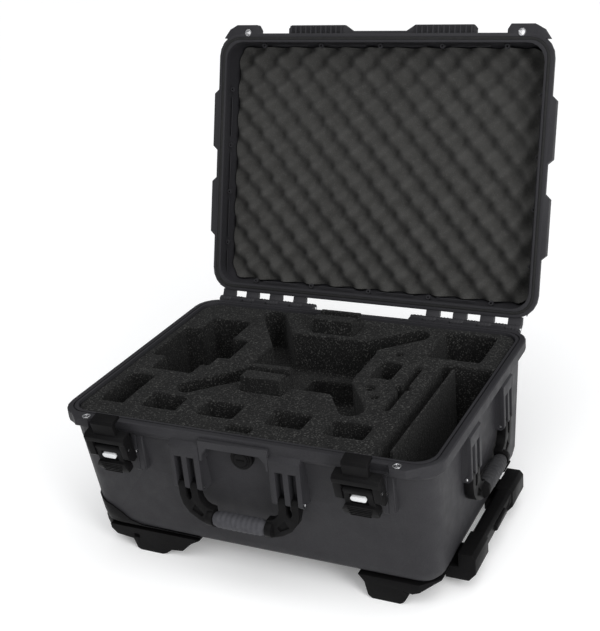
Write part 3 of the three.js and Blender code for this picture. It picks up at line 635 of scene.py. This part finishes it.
def wheels():
    for name in ENDS:
        finished(f"wheel_housing_{name}", 1.2)
        x, reach, z = FOOT_CORNER
        tucked = ((x, BASE_MIDDLE_Y + ENDS[name] * reach, z), (1, ENDS[name], 0))
        finished(f"foot_{name}", 1.2, corner=tucked)
        finished(f"wheel_hub_{name}", 0.6)
        finished(f"wheel_tyre_{name}", 1.0)
        finished(f"wheel_axle_{name}", 0.5)
        low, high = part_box(f"wheel_hub_{name}")
        middle = (low + high) / 2
        for face, y in (("out", low.y), ("in", high.y)):
            sign = -1 if face == "out" else 1
            turn = along("-y" if sign < 0 else "+y", (middle.x, y - sign * 0.0022, middle.z))
            for spoke in range(5):
                angle = 2 * math.pi * spoke / 5
                spin = Matrix.Rotation(angle, 4, "Z") @ Matrix.Scale(MM, 4)
                rounded_box(
                    f"hub_spoke_{name}_{face}_{spoke}", (9.6, 3.2, 4), (13.9, 0, 0), 0.8, turn @ spin,
                    f"wheel_{name}", "black_plastic", 2,
                )


# ---------- everything else that keeps its CAD shape ----------

PLAIN_NODES = {
    "base_shell": 0.9,
    "lid_shell": 0.9,
    "lid_seal": 0.5,
    "pressure_valve_body": 0.6,
    "pressure_valve_cap": 0.5,
    "pull_handle_channel": 0.8,
    "pull_grip": 4.0,
    "pull_button": 0.8,
    "hinge_pin_left": 0.3,
    "hinge_pin_right": 0.3,
    "base_padlock_eyelet_left": 0.3,
    "base_padlock_eyelet_right": 0.3,
    "lid_padlock_eyelet_left": 0.3,
    "lid_padlock_eyelet_right": 0.3,
    "pull_outer_tube_front": 0.3,
    "pull_outer_tube_rear": 0.3,
    "pull_middle_tube_front": 0.3,
    "pull_middle_tube_rear": 0.3,
    "pull_inner_tube_front": 0.3,
    "pull_inner_tube_rear": 0.3,
}

FOAM_NODES = {
    "base_foam_insert": (2.6, 0.5, 0.9),
    "base_foam_lower_layer": (4.0, 0.5, 0.9),
    "base_foam_floor_pad": (5.0, 0.5, 0.9),
    "foam_block_front": (1.6, 0.4, 0.9),
    "foam_block_rear": (1.6, 0.4, 0.9),
    "compartment_divider": (1.2, 0.3, 0.95),
}

# ---------- studio ----------

CAMERA_PLACE = (703.6, -1353.4, 959.8)
CAMERA_AZIMUTH = math.radians(27.3)
CAMERA_ELEVATION = math.radians(22.9)
CAMERA_ROLL = math.radians(-5.2)
CAMERA_LENS = 68.15
ROOM_LIGHT = 0.27
OVERHEAD_LIGHT = 2.2
FLOOR_GLOW = 0.16


def camera():
    data = bpy.data.cameras.new("photo_camera")
    data.lens = CAMERA_LENS
    data.sensor_width = 36
    data.clip_end = 50
    az, el = CAMERA_AZIMUTH, CAMERA_ELEVATION
    back = Vector((math.sin(az) * math.cos(el), -math.cos(az) * math.cos(el), math.sin(el)))
    across = Vector((math.cos(az), math.sin(az), 0))
    up = back.cross(across)
    right = across * math.cos(CAMERA_ROLL) + up * math.sin(CAMERA_ROLL)
    top = up * math.cos(CAMERA_ROLL) - across * math.sin(CAMERA_ROLL)
    placed = Matrix((right, top, back)).transposed().to_4x4()
    placed.translation = CASE @ Vector(CAMERA_PLACE)
    made = bpy.data.objects.new("photo_camera", data)
    made.matrix_world = placed
    bpy.context.scene.collection.objects.link(made)
    bpy.context.scene.camera = made


def softbox(name, place, target, size, power):
    data = bpy.data.lights.new(name, "AREA")
    data.shape = "RECTANGLE"
    data.size, data.size_y = size
    data.energy = power
    made = bpy.data.objects.new(name, data)
    made.location = place
    made.rotation_euler = (Vector(place) - Vector(target)).to_track_quat("Z", "Y").to_euler()
    bpy.context.scene.collection.objects.link(made)


def overhead(name, direction, strength, spread):
    """A broad light from above that falls evenly over the whole floor."""
    data = bpy.data.lights.new(name, "SUN")
    data.energy = strength
    data.angle = spread
    made = bpy.data.objects.new(name, data)
    made.rotation_euler = Vector(direction).to_track_quat("Z", "Y").to_euler()
    bpy.context.scene.collection.objects.link(made)


def studio():
    """White all round for the camera, but a dimmer room for what the surfaces reflect."""
    world = bpy.data.worlds.new("studio")
    world.use_nodes = True
    tree = world.node_tree
    room = tree.nodes["Background"]
    room.inputs["Color"].default_value = (0.95, 0.97, 1, 1)
    room.inputs["Strength"].default_value = ROOM_LIGHT
    white = tree.nodes.new("ShaderNodeBackground")
    white.inputs["Color"].default_value = (1, 1, 1, 1)
    seen = tree.nodes.new("ShaderNodeLightPath")
    choice = tree.nodes.new("ShaderNodeMixShader")
    tree.links.new(seen.outputs["Is Camera Ray"], choice.inputs["Fac"])
    tree.links.new(room.outputs["Background"], choice.inputs[1])
    tree.links.new(white.outputs["Background"], choice.inputs[2])
    tree.links.new(choice.outputs["Shader"], tree.nodes["World Output"].inputs["Surface"])
    bpy.context.scene.world = world
    bpy.context.scene.view_settings.view_transform = "Standard"
    overhead("overhead", (0.15, -0.35, 1), OVERHEAD_LIGHT, math.radians(80))
    softbox("right_key", (2.0, -1.5, 1.1), (0.1, 0, 0.25), (0.9, 1.2), 34)
    bm = bmesh.new()
    bmesh.ops.create_grid(bm, x_segments=8, y_segments=8, size=30)
    mesh = bpy.data.meshes.new("floor")
    bm.to_mesh(mesh)
    bm.free()
    mesh.materials.append(floor_material())
    floor = bpy.data.objects.new("floor", mesh)
    bpy.context.scene.collection.objects.link(floor)


# ---------- the whole scene ----------


def main():
    camera()
    studio()
    for node, bevel in PLAIN_NODES.items():
        finished(node, bevel)
    for node, (voxel, wobble, fill) in FOAM_NODES.items():
        foam_from(node, voxel, wobble)
    lid_foam()
    wall_liner()
    lid_bosses()
    front_apron()
    hinge_ribs()
    handles()
    latches()
    wheels()


main()
